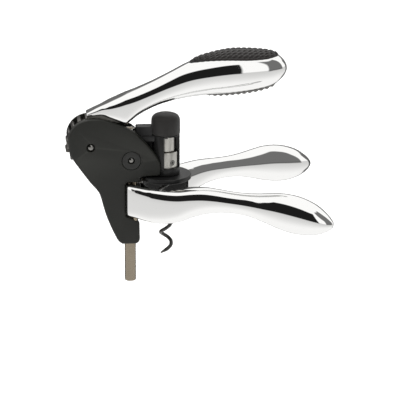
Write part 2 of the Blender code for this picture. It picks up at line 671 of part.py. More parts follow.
def jaw_pad(word, side):
    """Curved rubber liner of one jaw."""
    steps = 16
    start = math.radians(side * 7)
    end = math.radians(side * 158)
    angles = [start + (end - start) * k / steps for k in range(steps + 1)]
    outer = CAVITY_RADIUS - GAP
    ring = [(outer * math.cos(a), outer * math.sin(a)) for a in angles]
    ring += [(NECK_RADIUS * math.cos(a), NECK_RADIUS * math.sin(a)) for a in reversed(angles)]
    verts = [(x, y, z) for z in (-20.6, -3.2) for x, y in ring]
    origin = (CLAMP_PIVOT[0], side * CLAMP_PIVOT[1], 0)
    return add_mesh("jaw_pad_" + word, verts, ring_faces(2, len(ring)), "black_rubber", origin)


clear_scene()
cover("cover_front", -1)
cover("cover_back", 1)
inner_frame()
body_fittings()
stop_disc()
worm_group()
carriage_group()
lever_group()
clamp("front", -1)
clamp("back", 1)
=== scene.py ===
"""Looks of the lever corkscrew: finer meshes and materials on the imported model's bodies.

Lengths are in millimetres in the model's own frame: +X towards the grips, +Z up.
"""
import math

import bmesh
import bpy
from mathutils import Matrix, Vector


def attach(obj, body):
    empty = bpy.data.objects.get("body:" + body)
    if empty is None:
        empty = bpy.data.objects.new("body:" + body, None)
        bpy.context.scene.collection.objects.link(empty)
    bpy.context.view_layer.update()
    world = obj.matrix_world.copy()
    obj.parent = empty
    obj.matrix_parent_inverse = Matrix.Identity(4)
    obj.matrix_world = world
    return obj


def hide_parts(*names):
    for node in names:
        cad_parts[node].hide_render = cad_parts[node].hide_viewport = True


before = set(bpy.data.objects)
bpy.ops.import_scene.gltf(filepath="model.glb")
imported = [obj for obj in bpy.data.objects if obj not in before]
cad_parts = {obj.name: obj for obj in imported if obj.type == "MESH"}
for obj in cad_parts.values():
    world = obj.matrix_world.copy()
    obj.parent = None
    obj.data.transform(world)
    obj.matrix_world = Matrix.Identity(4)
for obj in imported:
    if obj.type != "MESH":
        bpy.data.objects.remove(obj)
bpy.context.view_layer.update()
MM = 0.001

# Dimensions shared with the solids
GAP = 0.3
BODY_HALF = 9.3
COVER_INNER = 6.5
ROD_X = -22.5
ROD_RADIUS = 3.5
ROD_TOP = 28.4
ROD_BOTTOM = -66.7
RACK_TOP = 30.9
RACK_BOTTOM = -26.0
RACK_BACK = -27.4
AXIS = (-46.5, 26.2)
MODULE = 1.7
TEETH = 18
GEAR_HALF = 5.8
STUB_RADIUS = 15.7
STUB_TEETH = range(3, 10)
HUB_RADIUS = 7.0
PITCH_RADIUS = MODULE * TEETH / 2
RACK_PITCH_X = AXIS[0] + PITCH_RADIUS
WORM_PITCH = 14.1
WORM_RADIUS = 3.3
WIRE_RADIUS = 1.15
WORM_TIP = -49.6
PIVOT = (-20.0, 7.2)
OPEN_ANGLE = 24.3
NECK_RADIUS = 14.3
CAVITY_RADIUS = 16.0
STOP_RADIUS = 15.9
COVER_PIN = (-47.3, 0, 23.3)
GUIDE_BUTTON = (-22.1, 0, 14.3)
COVER_SCREWS = [(-44.5, 1.5), (-28.8, -32.0), (-12.8, 6.0)]
STOP_SCREWS = [(-12.9, -2.5), (-12.9, 2.5)]


# ---------------------------------------------------------------- mesh helpers

def add_mesh(name, verts, faces):
    mesh = bpy.data.meshes.new(name)
    mesh.from_pydata([Vector(v) * MM for v in verts], [], faces)
    work = bmesh.new()
    work.from_mesh(mesh)
    bmesh.ops.recalc_face_normals(work, faces=work.faces)
    work.to_mesh(mesh)
    work.free()
    obj = bpy.data.objects.new(name, mesh)
    bpy.context.scene.collection.objects.link(obj)
    return obj


def bake_modifiers(obj):
    graph = bpy.context.evaluated_depsgraph_get()
    mesh = bpy.data.meshes.new_from_object(obj.evaluated_get(graph))
    obj.modifiers.clear()
    old = obj.data
    obj.data = mesh
    bpy.data.meshes.remove(old)


def combine(target, tools, operation):
    for tool in tools:
        boolean = target.modifiers.new("shape", "BOOLEAN")
        boolean.operation = operation
        boolean.solver = "EXACT"
        boolean.object = tool
    bake_modifiers(target)
    for tool in tools:
        bpy.data.objects.remove(tool, do_unlink=True)


def cut(target, *tools):
    combine(target, tools, "DIFFERENCE")


def join(target, *tools):
    combine(target, tools, "UNION")


def soften(obj, width, segments=2, angle=35):
    """Round the hard edges of a piece a little."""
    bevel = obj.modifiers.new("edges", "BEVEL")
    bevel.width = width * MM
    bevel.segments = segments
    bevel.limit_method = "ANGLE"
    bevel.angle_limit = math.radians(angle)
    bevel.harden_normals = False
    bake_modifiers(obj)


def finish(obj, body, nodes, material, sharp=40):
    """Smooth a piece, give it its material and fix it to its body."""
    obj.data.materials.clear()
    obj.data.materials.append(material)
    obj.data.shade_smooth()
    obj.data.set_sharp_from_angle(angle=math.radians(sharp))
    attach(obj, body)
    if nodes:
        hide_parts(*nodes)
    return obj


def repaint(node, material):
    """Give a solid that is shown as it is a better material."""
    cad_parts[node].data.materials.clear()
    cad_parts[node].data.materials.append(material)


def ring_faces(rings, count, closed_ends=True):
    faces = []
    for ring in range(rings - 1):
        here = ring * count
        there = here + count
        for i in range(count):
            j = (i + 1) % count
            faces.append((here + i, here + j, there + j, there + i))
    if closed_ends:
        faces.append(tuple(reversed(range(count))))
        faces.append(tuple((rings - 1) * count + i for i in range(count)))
    return faces


def spline(points, steps):
    out = []
    count = len(points)
    for i in range(count - 1):
        before = points[max(i - 1, 0)]
        start = points[i]
        end = points[i + 1]
        after = points[min(i + 2, count - 1)]
        for k in range(steps):
            t = k / steps
            out.append(tuple(
                0.5 * (2 * s + (e - b) * t + (2 * b - 5 * s + 4 * e - a) * t * t
                       + (3 * s - b - 3 * e + a) * t ** 3)
                for b, s, e, a in zip(before, start, end, after)))
    out.append(tuple(points[-1]))
    return out


def offset_outline(points, distance):
    area = sum(a[0] * b[1] - b[0] * a[1] for a, b in zip(points, points[1:] + points[:1]))
    side = 1 if area > 0 else -1
    moved = []
    count = len(points)
    for i, (x, z) in enumerate(points):
        before = Vector(points[i - 1])
        here = Vector((x, z))
        after = Vector(points[(i + 1) % count])
        first = (here - before).normalized()
        second = (after - here).normalized()
        normal = Vector((-first.y - second.y, first.x + second.x)).normalized() * side
        lean = max(0.5, normal.dot(Vector((-first.y, first.x)) * side))
        moved.append(tuple(here + normal * distance / lean))
    return moved


def slab(name, outline, y_low, y_high):
    verts = [(x, y, z) for y in (y_low, y_high) for x, z in outline]
    return add_mesh(name, verts, ring_faces(2, len(outline)))


def block(name, low, high):
    outline = [(low[0], low[2]), (high[0], low[2]), (high[0], high[2]), (low[0], high[2])]
    return slab(name, outline, low[1], high[1])


def turned(name, profile, centre=(0, 0, 0), axis="Z", segments=96, hollow=True):
    """Turn an (r, h) profile; a hollow one is a closed loop, a full one starts and ends at r 0."""
    start = 0 if hollow else 1
    stop = len(profile) if hollow else len(profile) - 1
    verts = []
    for k in range(segments):
        angle = 2 * math.pi * k / segments
        for r, h in profile[start:stop]:
            verts.append((r * math.cos(angle), r * math.sin(angle), h))
    count = stop - start
    faces = []
    for k in range(segments):
        here = k * count
        there = ((k + 1) % segments) * count
        for i in range(count if hollow else count - 1):
            j = (i + 1) % count
            faces.append((here + i, there + i, there + j, here + j))
    if not hollow:
        for end, row in ((profile[0], 0), (profile[-1], count - 1)):
            verts.append((0.0, 0.0, end[1]))
            tip = len(verts) - 1
            for k in range(segments):
                faces.append((tip, k * count + row, ((k + 1) % segments) * count + row))
    if axis == "Y":
        verts = [(x, h, y) for x, y, h in verts]
    return add_mesh(name, [Vector(v) + Vector(centre) for v in verts], faces)


def cylinder(name, centre, radius, low, high, axis="Z", segments=64):
    profile = [(0, low), (radius, low), (radius, high), (0, high)]
    return turned(name, profile, centre, axis, segments, hollow=False)


def rounded(profile, radius, steps=4):
    """Round the inner corners of an open (r, h) profile."""
    out = [profile[0]]
    for before, here, after in zip(profile, profile[1:], profile[2:]):
        a = Vector(before) - Vector(here)
        b = Vector(after) - Vector(here)
        reach = min(radius, a.length * 0.45, b.length * 0.45)
        start = Vector(here) + a.normalized() * reach
        end = Vector(here) + b.normalized() * reach
        for k in range(steps + 1):
            t = k / steps
            point = start * (1 - t) ** 2 + Vector(here) * 2 * t * (1 - t) + end * t ** 2
            out.append(tuple(point))
    out.append(profile[-1])
    return out


def rounded_loop(profile, radius, steps=3):
    """Round every corner of a closed (r, h) profile."""
    wrapped = [profile[-1]] + list(profile) + [profile[0]]
    return rounded(wrapped, radius, steps)[1:-1]


def pivoted(obj, angle_degrees, pivot):
    centre = Vector((pivot[0], pivot[1], 0)) * MM
    turn = (Matrix.Translation(centre) @ Matrix.Rotation(math.radians(angle_degrees), 4, "Z")
            @ Matrix.Translation(-centre))
    obj.data.transform(turn)


# ---------------------------------------------------------------- materials

class Surface:
    """A node material with object-space noise for colour, roughness and bump."""

    def __init__(self, name, colour, roughness, metallic=0.0, sheen=0.0, specular=0.5):
        self.material = bpy.data.materials.new(name)
        self.material.use_nodes = True
        self.tree = self.material.node_tree
        self.nodes = self.tree.nodes
        self.shader = self.nodes["Principled BSDF"]
        self.shader.inputs["Metallic"].default_value = metallic
        self.shader.inputs["Specular IOR Level"].default_value = specular
        self.shader.inputs["Sheen Weight"].default_value = sheen
        self.shader.inputs["Sheen Roughness"].default_value = 0.5
        self.colour = colour
        self.roughness = roughness
        self.coords = self.nodes.new("ShaderNodeTexCoord")
        self.normal = None

    def link(self, start, end):
        self.tree.links.new(start, end)

    def mapped(self, scale):
        mapping = self.nodes.new("ShaderNodeMapping")
        mapping.inputs["Scale"].default_value = scale
        self.link(self.coords.outputs["Object"], mapping.inputs["Vector"])
        return mapping.outputs["Vector"]

    def noise(self, size, detail=3.0, stretch=(1, 1, 1), roughness=0.55):
        """Noise with features of a size in millimetres."""
        node = self.nodes.new("ShaderNodeTexNoise")
        base = 1.0 / (size * MM)
        self.link(self.mapped(tuple(base / s for s in stretch)), node.inputs["Vector"])
        node.inputs["Scale"].default_value = 1.0
        node.inputs["Detail"].default_value = detail
        node.inputs["Roughness"].default_value = roughness
        return node.outputs["Fac"]

    def spread(self, value, low, high, start=0.3, end=0.7):
        node = self.nodes.new("ShaderNodeMapRange")
        node.inputs["From Min"].default_value = start
        node.inputs["From Max"].default_value = end
        node.inputs["To Min"].default_value = low
        node.inputs["To Max"].default_value = high
        self.link(value, node.inputs["Value"])
        return node.outputs["Result"]

    def tint(self, factor, low, high):
        """Colour that runs between two shades of the base colour."""
        node = self.nodes.new("ShaderNodeMix")
        node.data_type = "RGBA"
        node.inputs["A"].default_value = (*[c * low for c in self.colour], 1)
        node.inputs["B"].default_value = (*[c * high for c in self.colour], 1)
        self.link(factor, node.inputs["Factor"])
        return node.outputs["Result"]

    def worn(self, colour, worn_colour, amount, start=0.52, end=0.60):
        """Lighter colour on convex edges, where handling rubs."""
        geometry = self.nodes.new("ShaderNodeNewGeometry")
        edge = self.spread(geometry.outputs["Pointiness"], 0.0, amount, start, end)
        node = self.nodes.new("ShaderNodeMix")
        node.data_type = "RGBA"
        self.link(edge, node.inputs["Factor"])
        self.link(colour, node.inputs["A"])
        node.inputs["B"].default_value = (*worn_colour, 1)
        return node.outputs["Result"]

    def bump(self, height, distance, strength=1.0):
        node = self.nodes.new("ShaderNodeBump")
        node.inputs["Distance"].default_value = distance * MM
        node.inputs["Strength"].default_value = strength
        self.link(height, node.inputs["Height"])
        if self.normal is not None:
            self.link(self.normal, node.inputs["Normal"])
        self.normal = node.outputs["Normal"]

    def done(self, colour, rough):
        self.link(colour, self.shader.inputs["Base Color"])
        self.link(rough, self.shader.inputs["Roughness"])
        if self.normal is not None:
            self.link(self.normal, self.shader.inputs["Normal"])
        return self.material


def moulded_plastic(name, colour, roughness, grain=0.35, depth=0.02):
    s = Surface(name, colour, roughness, specular=0.4)
    broad = s.noise(9.0, 3)
    fine = s.noise(grain, 2)
    s.bump(fine, depth, 0.6)
    s.bump(s.noise(6.0, 2), 0.05, 0.25)
    colour_out = s.worn(s.tint(broad, 0.85, 1.18), [c * 1.9 + 0.01 for c in colour], 0.5)
    return s.done(colour_out, s.spread(broad, roughness - 0.05, roughness + 0.06))


def soft_rubber(name, colour, roughness):
    s = Surface(name, colour, roughness, sheen=0.12, specular=0.3)
    s.bump(s.noise(0.28, 3), 0.03, 0.8)
    dust = s.noise(3.5, 5)
    colour_out = s.worn(s.tint(dust, 0.8, 1.25), [c * 1.8 + 0.012 for c in colour], 0.6)
    return s.done(colour_out, s.spread(dust, roughness - 0.06, roughness + 0.06))


def chrome_plate(name):
    s = Surface(name, (0.90, 0.90, 0.895), 0.03, metallic=1.0)
    smudge = s.noise(14.0, 4)
    fine = s.noise(0.6, 3)
    s.bump(s.noise(22.0, 1), 0.02, 0.10)
    s.bump(fine, 0.0006, 0.4)
    return s.done(s.tint(smudge, 0.985, 1.01), s.spread(smudge, 0.025, 0.065, 0.42, 0.72))


def brushed_metal(name, colour, roughness, stretch, grain=0.12, specular=0.5):
    s = Surface(name, colour, roughness, metallic=1.0, specular=specular)
    lines = s.noise(grain, 2, stretch)
    broad = s.noise(5.0, 3)
    s.bump(lines, 0.004, 0.5)
    colour_out = s.tint(broad, 0.88, 1.06)
    return s.done(colour_out, s.spread(lines, roughness - 0.06, roughness + 0.08))


def coated_steel(name):
    s = Surface(name, (0.030, 0.029, 0.026), 0.28, specular=0.6)
    broad = s.noise(2.5, 4)
    s.bump(s.noise(0.5, 3), 0.012, 0.5)
    colour_out = s.worn(s.tint(broad, 0.8, 1.3), (0.12, 0.12, 0.115), 0.3)
    return s.done(colour_out, s.spread(broad, 0.22, 0.36))


MATERIALS = {
    "shell": moulded_plastic("shell_plastic", (0.0125, 0.0130, 0.0105), 0.48),
    "nylon": moulded_plastic("inner_nylon", (0.016, 0.016, 0.015), 0.42, 0.5),
    "casting": moulded_plastic("casting_black", (0.010, 0.010, 0.010), 0.36, 0.4),
    "button": moulded_plastic("button_plastic", (0.019, 0.0195, 0.018), 0.40, 0.3),
    "chrome": chrome_plate("chrome_plate"),
    "cap": soft_rubber("cap_rubber", (0.017, 0.016, 0.015), 0.55),
    "grip": soft_rubber("grip_rubber", (0.016, 0.014, 0.013), 0.48),
    # grey rubber of the lower grip, made lighter as painted light to make up for the shade on its
    # downward face
    "grip_grey_painted_light": soft_rubber("grip_rubber_under_painted_light", (0.15, 0.147, 0.14), 0.50),
    "pad": soft_rubber("pad_rubber", (0.014, 0.014, 0.014), 0.60),
    "silver": brushed_metal("satin_silver", (0.62, 0.61, 0.57), 0.30, (1, 1, 0.35)),
    "rod": brushed_metal("rod_steel", (0.36, 0.31, 0.24), 0.24, (1, 1, 0.2), 3.0),
    "steel": brushed_metal("screw_steel", (0.58, 0.57, 0.54), 0.32, (1, 1, 1), 0.4),
    "gear": brushed_metal("gear_steel", (0.14, 0.135, 0.125), 0.36, (1, 8, 1), 0.2),
    "bronze": brushed_metal("bush_bronze", (0.30, 0.19, 0.10), 0.34, (1, 1, 0.3), 0.3),
    "pin": brushed_metal("pin_steel", (0.30, 0.295, 0.28), 0.20, (1, 1, 1), 0.3),
    "worm": coated_steel("worm_coating"),
}


# ---------------------------------------------------------------- body

def body_outline():
    head = spline([(-61.0, 24.4), (-61.5, 29.0), (-60.2, 33.6), (-57.3, 37.5), (-53.3, 40.1),
                   (-48.0, 41.4), (-41.4, 41.3), (-35.4, 39.8), (-28.6, 37.1), (-21.0, 33.3),
                   (-14.8, 27.4), (-9.3, 21.0), (-5.4, 15.2), (-3.7, 10.6), (-3.6, 6.6)], 6)
    lobe_foot = rounded([(-3.6, 6.6), (-4.4, 3.6), (-16.6, 3.5), (-17.0, -0.2), (-24.8, -0.2),
                         (-25.6, -1.0), (-25.6, -22.0)], 1.3)[1:]
    notch = rounded([(-25.6, -22.0), (-17.1, -25.7), (-16.9, -38.2), (-18.6, -40.3),
                     (-28.0, -40.3)], 1.6)[1:]
    neck = spline([(-28.0, -40.3), (-31.0, -37.4), (-35.7, -27.3), (-38.8, -18.6),
                   (-41.2, -9.6), (-43.0, -5.4), (-48.0, 0.7), (-57.2, 13.7), (-60.2, 19.2),
                   (-61.0, 24.4)], 5)
    return head + lobe_foot + notch + neck[1:-1]


def cover(word, side):
    outline = body_outline()
    edge_round = 2.0
    edge_inset = 1.15
    depths = [(COVER_INNER, 0.0), (BODY_HALF - edge_round, 0.0)]
    steps = 8
    for step in range(1, steps + 1):
        angle = math.pi / 2 * step / steps
        depths.append((BODY_HALF - edge_round * (1 - math.sin(angle)),
                       edge_inset * (1 - math.cos(angle))))
    verts = []
    for y, inset in depths:
        ring = offset_outline(outline, inset) if inset else outline
        verts += [(x, side * y, z) for x, z in ring]
    shell = add_mesh(word + "_cover", verts, ring_faces(len(depths), len(outline)))
    hub = sorted((side * 0.2, side * (COVER_INNER + 1)))
    join(shell, cylinder("hub", (AXIS[0], 0, AXIS[1]), HUB_RADIUS, hub[0], hub[1], "Y"))
    outside = side * (BODY_HALF + 1)

    def bore(spot, radius, start, flare=0.0):
        """A round hole from outside in, with a small flare at its mouth."""
        face = side * BODY_HALF
        profile = [(0, side * start), (radius, side * start), (radius, face - side * flare),
                   (radius + flare, face), (radius + flare, outside), (0, outside)]
        return turned("bore", profile, spot, "Y", 64, hollow=False)

    cut(shell,
        bore(COVER_PIN, 1.8, 0.0),
        bore(COVER_PIN, 2.7, BODY_HALF - 1.7, 0.2),
        bore(GUIDE_BUTTON, 6.05, COVER_INNER - 1, 0.15),
        cylinder("relief", (0, 0, 0), 9.1, -50, 60, segments=128),
        cylinder("pin_hole", (PIVOT[0], side * PIVOT[1], 0), 1.8, -31.3, 1.8))
    if side > 0:
        for x, z in COVER_SCREWS:
            cut(shell, bore((x, 0, z), 1.5, 5.0), bore((x, 0, z), 2.6, BODY_HALF - 1.6, 0.15))
    name = "cover_" + word
    finish(shell, "body", [name], MATERIALS["shell"])


def screw(name, spot, profile, axis, node, recess):
    """A screw with a recessed cross in its head; recess is the head's height and depth."""
    body = turned(name, rounded(profile, 0.25, 3), spot, axis, 48, hollow=False)
    top, depth, reach = recess
    low, high = sorted((top - depth, top + (1 if depth > 0 else -1)))
    if axis == "Y":
        bars = [block("slot", (-reach, low, -0.28), (reach, high, 0.28)),
                block("slot", (-0.28, low, -reach), (0.28, high, reach))]
    else:
        bars = [block("slot", (-reach, -0.28, low), (reach, 0.28, high)),
                block("slot", (-0.28, -reach, low), (0.28, reach, high))]
    for bar in bars:
        bar.data.transform(Matrix.Translation(Vector(spot) * MM))
    cut(body, bars[0])
    cut(body, bars[1])
    finish(body, "body", [node], MATERIALS["steel"])


def body_pieces():
    half = BODY_HALF
    cover("front", -1)
    cover("back", 1)
    repaint("inner_frame", MATERIALS["nylon"])
    dome = [(0, -half + 0.3), (0.6, -half + 0.33), (1.2, -half + 0.46), (1.7, -half + 0.7),
            (2.1, -half + 1.05), (2.3, -half + 1.4), (1.5, -half + 1.4)]
    pin = dome + [(r, -y) for r, y in reversed(dome)]
    finish(turned("hub_pin", pin, COVER_PIN, "Y", 48, hollow=False), "body",
           ["cover_pin"], MATERIALS["pin"])
    for side, word in ((-1, "front"), (1, "back")):
        button = rounded([(0, 4.0), (5.8, 4.0), (5.8, half - 0.1), (2.1, half - 0.1),
                          (2.1, half - 2.0), (1.3, half - 2.0), (1.3, 5.0), (0, 5.0)], 0.35)
        node = "guide_button_" + word
        finish(turned("side_button_" + word, [(r, side * y) for r, y in button], GUIDE_BUTTON,
                      "Y", 96, hollow=False), "body", [node], MATERIALS["button"])
        screw_shape = [(0, 5.3), (1.0, 5.3), (1.0, half - 1.7), (1.7, half - 1.7),
                       (1.7, half - 1.0), (1.45, half - 0.62), (0.9, half - 0.4),
                       (0, half - 0.3)]
        node = "guide_screw_" + word
        finish(turned("button_screw_" + word, [(r, side * y) for r, y in screw_shape],
                      GUIDE_BUTTON, "Y", 48, hollow=False), "body", [node],
               MATERIALS["pin"])
        node = "clamp_pin_" + word
        shape = rounded([(0, -31.0), (1.5, -31.0), (1.5, 1.4), (0, 1.4)], 0.3)
        finish(turned("pivot_pin_" + word, shape, (PIVOT[0], side * PIVOT[1], 0), "Z", 48,
                      hollow=False), "body", [node], MATERIALS["rod"])
    for index, (x, z) in enumerate(COVER_SCREWS):
        shape = [(0, 4.2), (1.2, 4.2), (1.2, half - 1.3), (2.3, half - 1.3), (2.3, half - 0.2),
                 (0, half - 0.2)]
        screw("back_screw_%d" % (index + 1), (x, 0, z), shape, "Y",
              "cover_screw_%d" % (index + 1), (half - 0.2, 0.8, 1.5))
    for index, (x, y) in enumerate(STOP_SCREWS):
        shape = [(0, 0.15), (2.2, 0.15), (1.25, 1.1), (1.25, 6.9), (0, 6.9)]
        screw("disc_screw_%d" % (index + 1), (x, y, 0), shape, "Z",
              "stop_screw_%d" % (index + 1), (0.15, -0.7, 1.4))
    bush = rounded_loop([(ROD_RADIUS + GAP, -39.4), (5.2, -39.4), (5.2, -27.5),
                         (ROD_RADIUS + GAP, -27.5)], 0.3)
    finish(turned("guide_bush", bush, (ROD_X, 0, 0)), "body", ["rod_bush"],
           MATERIALS["bronze"])
    disc_shape = rounded_loop([(7.4, 0), (STOP_RADIUS, 0), (STOP_RADIUS, 3.0), (7.4, 3.0)], 0.7, 5)
    disc = turned("bottle_stop_disc", disc_shape, segments=128)
    for x, y in STOP_SCREWS:
        cut(disc, cylinder("hole", (x, y, 0), 1.6, -1, 4),
            turned("sink", [(0, -0.1), (2.7, -0.1), (1.5, 1.2), (0, 1.2)], (x, y, 0),
                   segments=48, hollow=False))
    finish(disc, "body", ["stop_plate"], MATERIALS["casting"])
    nut = turned("threaded_nut", rounded([(0, 0.3), (7.1, 0.3), (7.1, 6.0), (0, 6.0)], 0.4),
                 segments=96, hollow=False)
    path = [helix_point(-2.0 + 10.0 * k / 40) for k in range(41)]
    cut(nut, swept("thread", path, [WIRE_RADIUS + 0.4] * len(path), 20))
    finish(nut, "body", ["worm_nut"], MATERIALS["nylon"])


# ---------------------------------------------------------------- worm

def helix_point(z):
    angle = math.pi + 2 * math.pi * (z + 35.6) / WORM_PITCH
    return Vector((WORM_RADIUS * math.cos(angle), WORM_RADIUS * math.sin(angle), z))


def swept(name, path, radii, sides):
    verts = []
    for i, point in enumerate(path):
        along = (path[min(i + 1, len(path) - 1)] - path[max(i - 1, 0)]).normalized()
        out = Vector((point.x, point.y, 0)).normalized()
        across = along.cross(out).normalized()
        out = across.cross(along)
        for k in range(sides):
            angle = 2 * math.pi * k / sides
            verts.append(point + (out * math.cos(angle) + across * math.sin(angle)) * radii[i])
    return add_mesh(name, verts, ring_faces(len(path), sides))


def worm_pieces():
    top = 10.4
    count = int((top - WORM_TIP) / WORM_PITCH * 44)
    path = []
    radii = []
    for k in range(count + 1):
        z = WORM_TIP + (top - WORM_TIP) * k / count
        point = helix_point(z)
        squeeze = 0.25 + 0.75 * min(1.0, max(0.0, (top - z) / 3.6))
        point.x *= squeeze
        point.y *= squeeze
        path.append(point)
        radii.append(WIRE_RADIUS * min(1.0, 0.14 + ((z - WORM_TIP) / 4.2) ** 0.8))
    spiral = swept("screw_worm", path, radii, 18)
    join(spiral, turned("worm_head", [(0, 9.4), (4.2, 9.4), (4.6, 9.8), (4.6, 13.2), (0, 13.2)],
                        segments=64, hollow=False))
    finish(spiral, "worm", ["worm"], MATERIALS["worm"])
    chuck = rounded_loop([(4.9, 6.6), (7.4, 6.6), (7.4, 18.0), (4.3, 18.0), (4.3, 13.6),
                          (4.9, 13.6)], 0.35)
    holder = turned("worm_holder", chuck, segments=128)
    turn = Matrix.Rotation(math.radians(-60), 4, "Z") @ Matrix.Rotation(math.pi / 2, 4, "Y")
    lift = Matrix.Translation(Vector((0, 0, 11.5)) * MM)
    hole = cylinder("hole", (0, 0, 0), 1.7, 4.0, 9.0)
    hole.data.transform(lift @ turn)
    cut(holder, hole)
    finish(holder, "worm", ["worm_chuck"], MATERIALS["silver"])
    grub = turned("set_screw", rounded([(0, 5.1), (1.4, 5.1), (1.4, 7.2), (0.7, 7.2),
                                        (0.6, 6.3), (0, 6.3)], 0.15), segments=48, hollow=False)
    grub.data.transform(lift @ turn)
    finish(grub, "worm", ["chuck_screw"], MATERIALS["pin"])
    shape = rounded([(0, 13.9), (4.0, 13.9), (4.0, 18.3), (5.8, 18.3), (5.8, 28.6), (3.0, 28.6),
                     (3.0, 37.2), (0, 37.2)], 0.35)
    finish(turned("drive_spindle", shape, hollow=False), "worm", ["spindle"],
           MATERIALS["silver"])
    repaint("spindle_nut", MATERIALS["steel"])


# ---------------------------------------------------------------- carriage

def wedge(name, start, end, inner, outer, low, high):
    steps = 24
    angles = [math.radians(start + (end - start) * k / steps) for k in range(steps + 1)]
    ring = [(outer * math.cos(a), outer * math.sin(a)) for a in angles]
    ring += [(inner * math.cos(a), inner * math.sin(a)) for a in reversed(angles)]
    verts = [(x, y, z) for z in (low, high) for x, y in ring]
    return add_mesh(name, verts, ring_faces(2, len(ring)))


def carriage_pieces():
    shell = [(8.75, 3.4), (8.75, 29.0), (7.7, 29.0), (7.7, 31.9), (3.3, 31.9), (3.3, 28.9),
             (6.3, 28.9), (6.3, 18.4), (7.75, 18.4), (7.75, 3.4)]
    housing = turned("carriage_housing", shell, segments=128)
    cut(housing,
        wedge("window", -102, -11, 3.5, 12, 7.8, 28.4),
        wedge("key_slot", -102, -83, 7.9, 12, 27.0, 29.5))
    arm = slab("arm", [(-18.7, 26.0), (-4.0, 26.0), (-4.0, 34.4), (-18.0, 34.4), (-18.7, 33.7)],
               -3.3, 3.3)
    cut(arm, cylinder("cap_clearance", (0, 0, 0), 9.35, 20, 40, segments=128))
    join(housing,
         slab("flange", [(-20.5, 25.2), (-6.6, 25.2), (-6.6, 28.6), (-20.5, 28.6)], -4.6, 4.6),
         arm,
         slab("web", [(-19.4, 9.2), (-8.1, 9.2), (-8.1, 26.0), (-19.4, 26.0)], -2.0, 2.0),
         cylinder("boss", (ROD_X, 0, 0), 4.6, 20.6, ROD_TOP))
    cut(housing, cylinder("bore", (ROD_X, 0, 0), ROD_RADIUS + GAP, 0, 40))
    soften(housing, 0.3, 2)
    finish(housing, "carriage", ["carriage"], MATERIALS["casting"])
    rod = rounded([(0, ROD_BOTTOM), (ROD_RADIUS, ROD_BOTTOM), (ROD_RADIUS, ROD_TOP), (2.2, ROD_TOP),
                   (2.2, 33.4), (0, 33.4)], 0.7, 5)
    finish(turned("lift_rod", rod, (ROD_X, 0, 0), hollow=False), "carriage",
           ["guide_rod"], MATERIALS["rod"])
    nut = cylinder("rod_top_nut", (ROD_X, 0, 0), 3.4, 31.2, 33.1, segments=6)
    cut(nut, cylinder("bore", (ROD_X, 0, 0), 2.5, 30, 36))
    soften(nut, 0.2)
    finish(nut, "carriage", ["rod_nut"], MATERIALS["steel"])
    repaint("thrust_washer", MATERIALS["bronze"])
    rack_bar()
    outside = [(8.05, 29.4), (8.9, 29.4), (9.0, 29.7), (9.0, 37.6), (8.9, 38.5), (8.6, 39.5),
               (8.0, 40.4), (7.1, 41.1), (5.9, 41.6), (4.4, 41.95), (2.3, 42.15), (0, 42.2)]
    inside = [(0, 38.0), (7.6, 38.0), (8.05, 37.6)]
    cap = turned("top_cap", list(reversed(inside + outside)), segments=96, hollow=False)
    join(cap, wedge("key", -99, -86, 8.15, 8.95, 27.9, 30.0))
    finish(cap, "carriage", ["cap"], MATERIALS["cap"])


def rack_bar():
    pitch = math.pi * MODULE
    tip_x = RACK_PITCH_X - MODULE
    root_x = RACK_PITCH_X + 1.25 * MODULE
    slope = math.tan(math.radians(20))
    half_tooth = pitch / 4 - 0.14
    edge = []
    tooth = AXIS[1] + pitch / 2
    while tooth > RACK_BOTTOM + half_tooth + 1:
        tooth -= pitch
    while tooth + half_tooth < RACK_TOP + 1.0:
        tip_half = half_tooth - MODULE * slope
        root_half = half_tooth + 1.25 * MODULE * slope
        for x, z in ((root_x, tooth - root_half), (tip_x, tooth - tip_half),
                     (tip_x, tooth + tip_half), (root_x, tooth + root_half)):
            if RACK_BOTTOM < z < RACK_TOP - 0.2:
                edge.append((x, z))
        tooth += pitch
    outline = [(RACK_BACK, RACK_TOP - 2), (RACK_BACK, RACK_BOTTOM), (root_x, RACK_BOTTOM)]
    outline += edge + [(root_x, RACK_TOP), (-19.0, RACK_TOP), (-19.0, RACK_TOP - 2)]
    rack = slab("lift_rack", outline, -3.5, 3.5)
    cut(rack, cylinder("hole", (ROD_X, 0, 0), 2.5, 28, 36))
    soften(rack, 0.18)
    finish(rack, "carriage", ["rack"], MATERIALS["gear"])


# ---------------------------------------------------------------- lever

def gear_outline():
    """Hub gear's tooth outline, whose stub teeth end just past the pitch circle."""
    base = PITCH_RADIUS * math.cos(math.radians(20))
    tip = PITCH_RADIUS + MODULE
    root = PITCH_RADIUS - 1.25 * MODULE
    roll = math.tan(math.radians(20)) - math.radians(20)
    half_at_pitch = math.pi / (2 * TEETH) - 0.009
    flank = [(root, half_at_pitch + roll)]
    for radius in (base, (base + PITCH_RADIUS) / 2, PITCH_RADIUS, PITCH_RADIUS + 0.85, tip):
        pressure = math.acos(min(1.0, base / radius))
        flank.append((radius, half_at_pitch + roll - (math.tan(pressure) - pressure)))
    points = []
    for tooth in range(TEETH):
        centre = 2 * math.pi * tooth / TEETH
        limit = STUB_RADIUS if tooth in STUB_TEETH else tip
        points += [(min(radius, limit), centre - half) for radius, half in flank]
        points += [(min(radius, limit), centre + half) for radius, half in reversed(flank)]
    return [(AXIS[0] + r * math.cos(a), AXIS[1] + r * math.sin(a)) for r, a in points]


def superellipse(angle, half_wide, half_high, power):
    c = math.cos(angle)
    s = math.sin(angle)
    y = half_wide * math.copysign(abs(c) ** (2 / power), c)
    z = half_high * math.copysign(abs(s) ** (2 / power), s)
    return y, z


